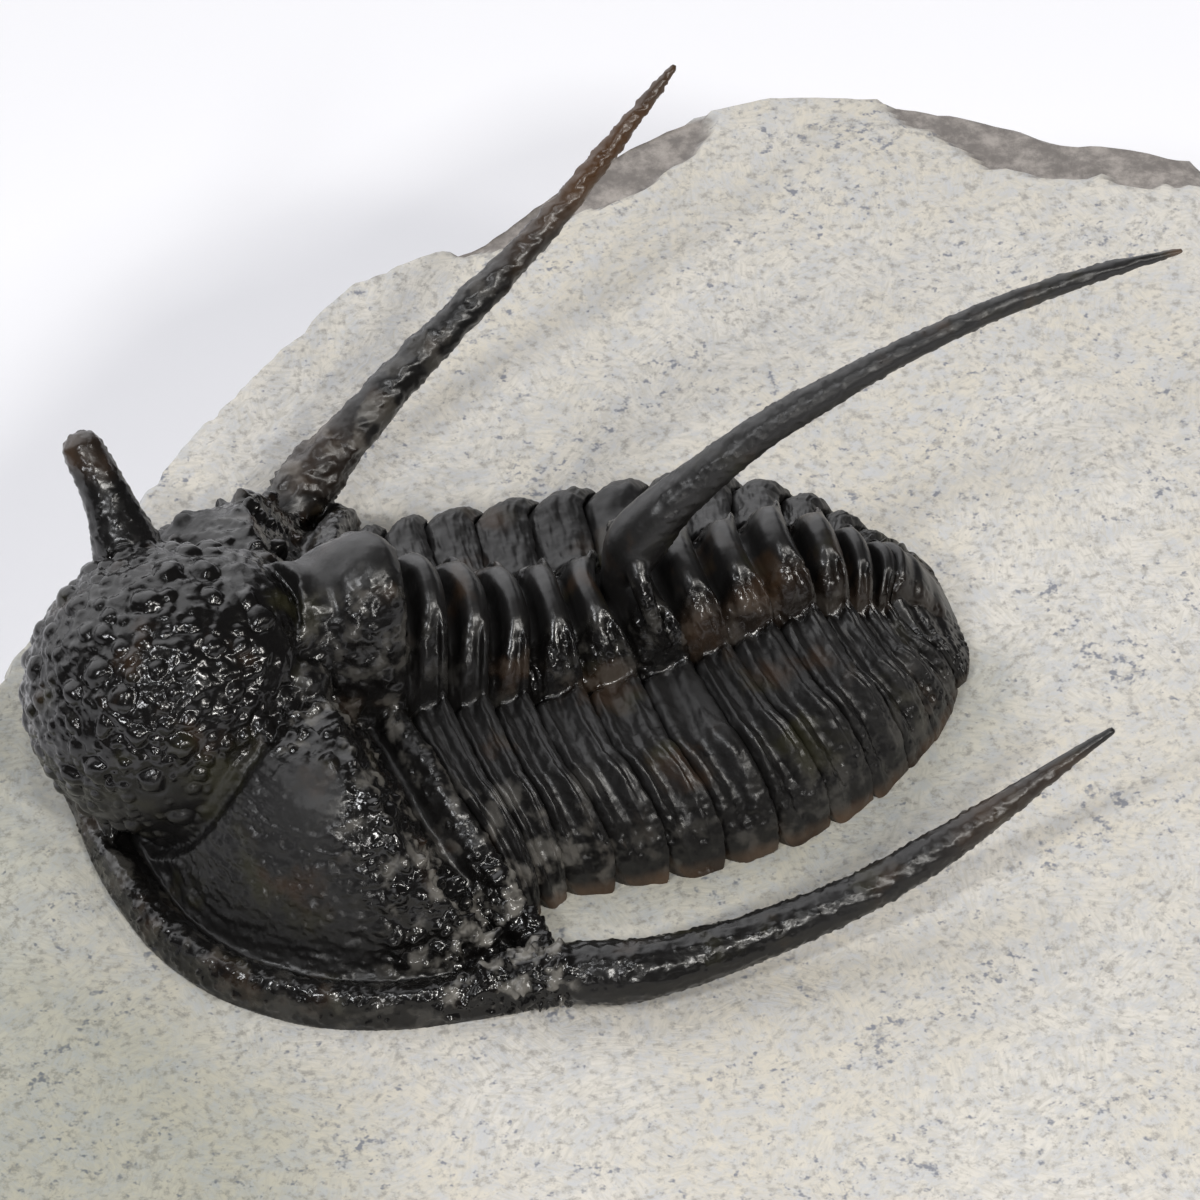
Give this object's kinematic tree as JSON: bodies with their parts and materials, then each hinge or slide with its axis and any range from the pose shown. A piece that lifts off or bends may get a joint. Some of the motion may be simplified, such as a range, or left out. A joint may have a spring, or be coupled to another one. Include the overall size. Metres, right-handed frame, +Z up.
{
  "type": "trilobite fossil on matrix",
  "caption": "Fossil trilobite with a globular tuberculate head, long backswept spines and a horn, standing on a flat-based block of pale limestone.",
  "frame": {"origin": "centre of the rock's bounding rectangle, on the flat cut base that it rests on", "axes": "+Z up; +X from the trilobite's head to its tail; +Y to the trilobite's right"},
  "size_m": [0.0434, 0.041, 0.0252],
  "materials": {
    "limestone": "finely granular, matt, with a rough broken edge",
    "shell": "glossy black calcite"
  },
  "bodies": {
    "root": {"matrix": "limestone", "cephalon": "shell", "thorax_segment_01": "shell", "thorax_segment_02": "shell", "thorax_segment_03": "shell", "thorax_segment_04": "shell", "thorax_segment_05": "shell", "thorax_segment_06": "shell", "thorax_segment_07": "shell", "thorax_segment_08": "shell", "thorax_segment_09": "shell", "thorax_segment_10": "shell", "thorax_segment_11": "shell", "thorax_segment_12": "shell", "pygidium": "shell"}
  },
  "joints": []
}
